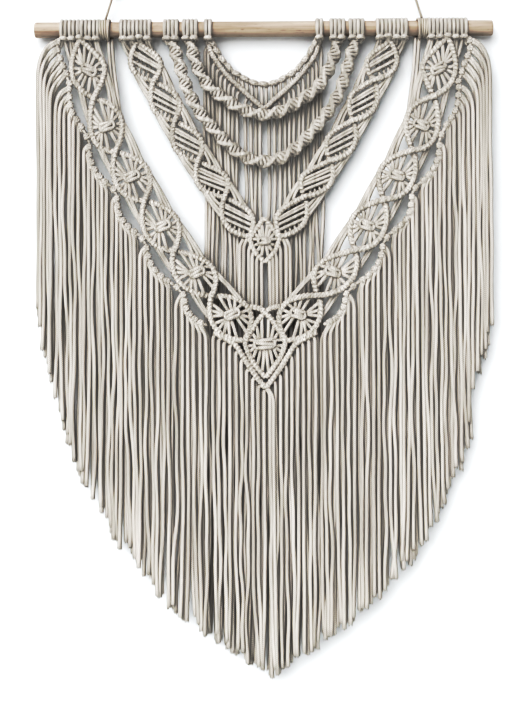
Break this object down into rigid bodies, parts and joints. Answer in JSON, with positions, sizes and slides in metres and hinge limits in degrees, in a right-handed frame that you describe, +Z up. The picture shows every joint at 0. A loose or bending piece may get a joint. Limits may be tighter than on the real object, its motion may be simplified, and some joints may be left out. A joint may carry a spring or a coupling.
{
  "type": "macrame wall hanging on a wooden dowel",
  "caption": "Knotted cotton wall hanging with two V-shaped bands, twisted sinnets, a round neckline and long cut fringe, hung from a round wooden dowel.",
  "frame": {"origin": "middle of the dowel's axis, between the two legs of the hanging cord that hold the piece up", "axes": "+X to the viewer's right along the dowel, +Y away from the viewer towards the wall, +Z up"},
  "size_m": [0.6, 0.0374, 0.9058],
  "materials": {
    "beech": "sanded, unvarnished",
    "cotton_cord": "braided cotton cord, matt",
    "cotton_line": "thin braided cotton line, matt"
  },
  "bodies": {
    "root": {"dowel": "beech", "hanger_wrap_left": "cotton_line", "hanger_wrap_right": "cotton_line", "hanger_cord_left": "cotton_line", "hanger_cord_right": "cotton_line", "outer_band": "cotton_cord", "inner_band": "cotton_cord", "neckline": "cotton_cord", "sinnet_long": "cotton_cord", "sinnet_short": "cotton_cord", "fringe_left": "cotton_cord", "fringe_right": "cotton_cord", "fringe_centre": "cotton_cord"}
  },
  "joints": []
}
